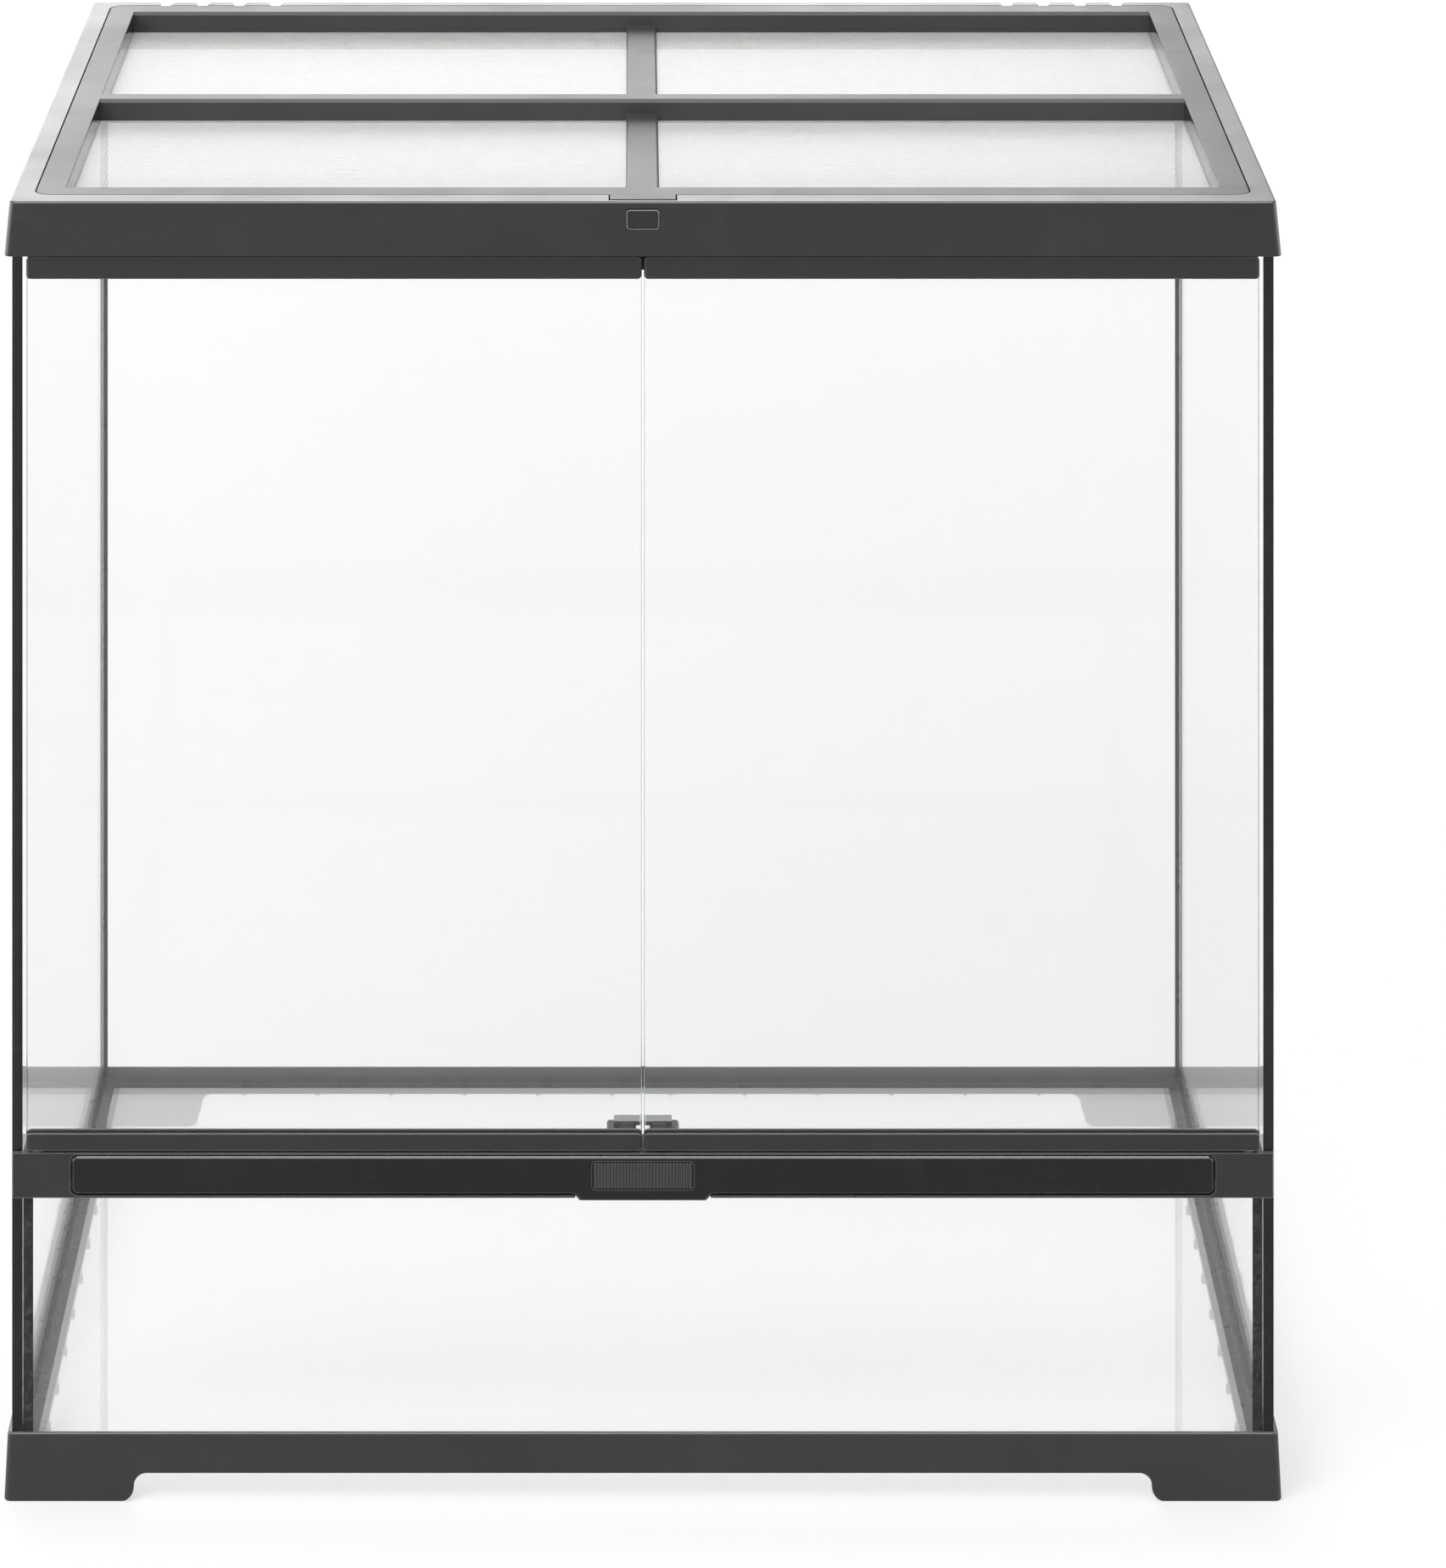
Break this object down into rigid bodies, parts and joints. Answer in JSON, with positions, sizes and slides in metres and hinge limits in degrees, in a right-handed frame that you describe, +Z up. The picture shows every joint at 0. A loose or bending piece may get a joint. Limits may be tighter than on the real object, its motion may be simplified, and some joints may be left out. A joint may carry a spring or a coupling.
{
  "type": "reptile terrarium",
  "caption": "Front-opening glass terrarium with plastic base and top frames, hinged glass doors above a latch bar, a tilting screen lid and sliding cable shutters.",
  "frame": {"origin": "under the middle of the object, on the surface that it stands on", "axes": "+X to the right seen from the front, +Y to the back, +Z up"},
  "size_m": [0.605, 0.455, 0.615],
  "materials": {
    "frame_plastic": "fine matt moulded texture, rounded edges",
    "latch_plastic": "matt, darker towards the middle",
    "tank_glass": "clear float glass with polished green-grey edges",
    "black_silicone": "satin cured bead",
    "mesh_steel": "woven stainless wire",
    "retainer_plastic": "matt, pale grey",
    "clip_steel": "plain satin",
    "spring_steel": "bright drawn wire and strip",
    "pad_rubber": "matt",
    "bush_nylon": "satin nylon"
  },
  "bodies": {
    "tank": {"base_frame": "frame_plastic", "bottom_pane": "tank_glass", "back_pane": "tank_glass", "left_pane": "tank_glass", "right_pane": "tank_glass", "lower_front_pane": "tank_glass", "floor_bead": "black_silicone", "back_left_bead": "black_silicone", "back_right_bead": "black_silicone", "front_left_bead": "black_silicone", "front_right_bead": "black_silicone", "front_crossbar": "frame_plastic", "vent_screen": "mesh_steel", "hinge_bushes": "bush_nylon", "latch_springs": "spring_steel", "top_frame": "frame_plastic", "button_spring": "spring_steel"},
    "left_door": {"left_door_glass": "tank_glass", "left_lower_rail": "frame_plastic", "left_upper_rail": "frame_plastic", "left_hinge_pins": "spring_steel", "left_catch_arm": "latch_plastic", "left_catch_pads": "pad_rubber", "left_strike_clip": "clip_steel"},
    "right_door": {"right_door_glass": "tank_glass", "right_lower_rail": "frame_plastic", "right_upper_rail": "frame_plastic", "right_hinge_pins": "spring_steel", "right_catch_arm": "latch_plastic", "right_catch_pads": "pad_rubber", "right_strike_clip": "clip_steel"},
    "lid": {"lid_frame": "frame_plastic", "front_left_mesh": "mesh_steel", "front_right_mesh": "mesh_steel", "back_left_mesh": "mesh_steel", "back_right_mesh": "mesh_steel", "mesh_retainers": "retainer_plastic", "lid_catch": "latch_plastic"},
    "button": {"lid_button": "frame_plastic"},
    "latch": {"latch_bar": "latch_plastic", "latch_hooks": "clip_steel"},
    "left_shutter": {"left_cable_shutter": "latch_plastic"},
    "right_shutter": {"right_cable_shutter": "latch_plastic"}
  },
  "joints": [
    {"name": "left_door_swing", "type": "hinge", "parent": "tank", "child": "left_door", "pos_m": [-0.287, -0.2215, 0.377], "axis": [0, 0, -1], "range_deg": [0, 110]},
    {"name": "right_door_swing", "type": "hinge", "parent": "tank", "child": "right_door", "pos_m": [0.287, -0.2215, 0.377], "axis": [0, 0, 1], "range_deg": [0, 110]},
    {"name": "lid_tilt", "type": "hinge", "parent": "tank", "child": "lid", "pos_m": [0, 0.216, 0.615], "axis": [-1, 0, 0], "range_deg": [0, 95]},
    {"name": "button_push", "type": "slide", "parent": "tank", "child": "button", "axis": [0, 1, 0], "range_m": [0, 0.0028], "stiffness_N_per_m": 400, "springref_m": -0.001, "deforming": ["button_spring"]},
    {"name": "latch_tilt", "type": "hinge", "parent": "tank", "child": "latch", "pos_m": [0, -0.2239, 0.1605], "axis": [-1, 0, 0], "range_deg": [0, 10], "stiffness_Nm_per_rad": 0.4, "springref_deg": -6.88, "deforming": ["latch_springs"]},
    {"name": "left_shutter_slide", "type": "slide", "parent": "tank", "child": "left_shutter", "axis": [-1, 0, 0], "range_m": [0, 0.01]},
    {"name": "right_shutter_slide", "type": "slide", "parent": "tank", "child": "right_shutter", "axis": [1, 0, 0], "range_m": [0, 0.01]}
  ]
}
